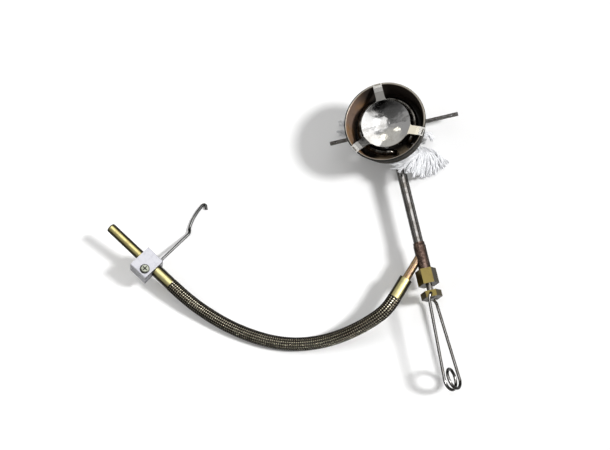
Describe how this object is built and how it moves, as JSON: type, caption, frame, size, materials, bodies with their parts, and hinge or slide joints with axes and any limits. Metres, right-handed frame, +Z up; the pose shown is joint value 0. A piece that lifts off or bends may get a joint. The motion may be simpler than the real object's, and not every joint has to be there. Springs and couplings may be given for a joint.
{
  "type": "remote-feed stove burner head",
  "caption": "Small liquid-fuel stove burner head with needle valve, folding wire handle and a braided fuel hose that ends in a plug tube with a clamp and wire catch.",
  "frame": {"origin": "underside of the priming cup, on the burner's vertical axis", "axes": "+Z up along the burner's axis, +Y from the valve towards the burner, +X to the right seen from the valve"},
  "size_m": [0.2329, 0.192, 0.038],
  "materials": {
    "bell_steel": "heat-tinted brown and blue-black steel, bright worn rim",
    "plate_steel": "polished and spun stainless steel",
    "feed_steel": "heat-tinted stainless tube",
    "block_brass": "dull, heat-darkened brass",
    "jet_brass": "machined brass",
    "rod_steel": "dull grey steel",
    "cup_steel": "sooted thin steel",
    "wick_cotton": "loose white cotton",
    "neck_steel": "dull grey steel tube",
    "sleeve_brass": "mottled, copper-toned brass",
    "inlet_copper": "copper-toned tube",
    "gland_brass": "worn brass",
    "ferrule_brass": "bright turned brass",
    "valve_steel": "turned steel",
    "packing_graphite": "pressed graphite",
    "handle_steel": "plain steel wire",
    "braid_steel": "stainless wire braid, dark between the wires",
    "liner_plastic": "smooth fuel-proof liner",
    "plug_brass": "turned brass, browned on the underside",
    "clamp_aluminium": "satin anodised aluminium",
    "screw_steel": "plated steel",
    "catch_steel": "bright spring steel wire"
  },
  "bodies": {
    "root": {"burner_bell": "bell_steel", "spreader_plate": "plate_steel", "generator_loop": "feed_steel", "jet_block": "block_brass", "jet": "jet_brass", "bell_nut": "block_brass", "support_rod": "rod_steel", "priming_cup": "cup_steel", "priming_wick": "wick_cotton", "neck_tube": "neck_steel", "needle_guide": "jet_brass", "valve_sleeve": "sleeve_brass", "inlet_tube": "inlet_copper", "packing_ring": "packing_graphite", "gland_washer": "jet_brass", "gland_nut": "gland_brass", "burner_ferrule": "ferrule_brass", "burner_insert": "jet_brass", "hose_liner": "liner_plastic", "hose_braid": "braid_steel", "plug_insert": "jet_brass", "plug_ferrule": "ferrule_brass", "plug_tube": "plug_brass", "clamp_block": "clamp_aluminium", "clamp_screw": "screw_steel", "clamp_nut": "screw_steel", "catch_pin": "screw_steel"},
    "needle": {"needle": "valve_steel"},
    "spindle": {"spindle": "valve_steel", "valve_knob": "gland_brass"},
    "handle": {"handle_wire": "handle_steel"},
    "catch": {"catch_wire": "catch_steel"}
  },
  "joints": [
    {"name": "needle_travel", "type": "slide", "parent": "root", "child": "needle", "axis": [0, -1, 0], "range_m": [0, 0.0015]},
    {"name": "spindle_turn", "type": "hinge", "parent": "needle", "child": "spindle", "pos_m": [0, -0.09, 0.0168], "axis": [0, -1, 0], "range_deg": [0, 720]},
    {"name": "handle_fold", "type": "hinge", "parent": "spindle", "child": "handle", "pos_m": [0, -0.1074, 0.0168], "axis": [0.1392, 0, 0.9903], "range_deg": [-60, 90]},
    {"name": "catch_swing", "type": "hinge", "parent": "root", "child": "catch", "pos_m": [-0.17006, -0.04123, 0.01269], "axis": [0.7573, 0.5776, -0.3047], "continuous": true}
  ],
  "couplings": [
    {"joint": "needle_travel", "follows": "spindle_turn", "m_per_rad": 0.00011937}
  ]
}
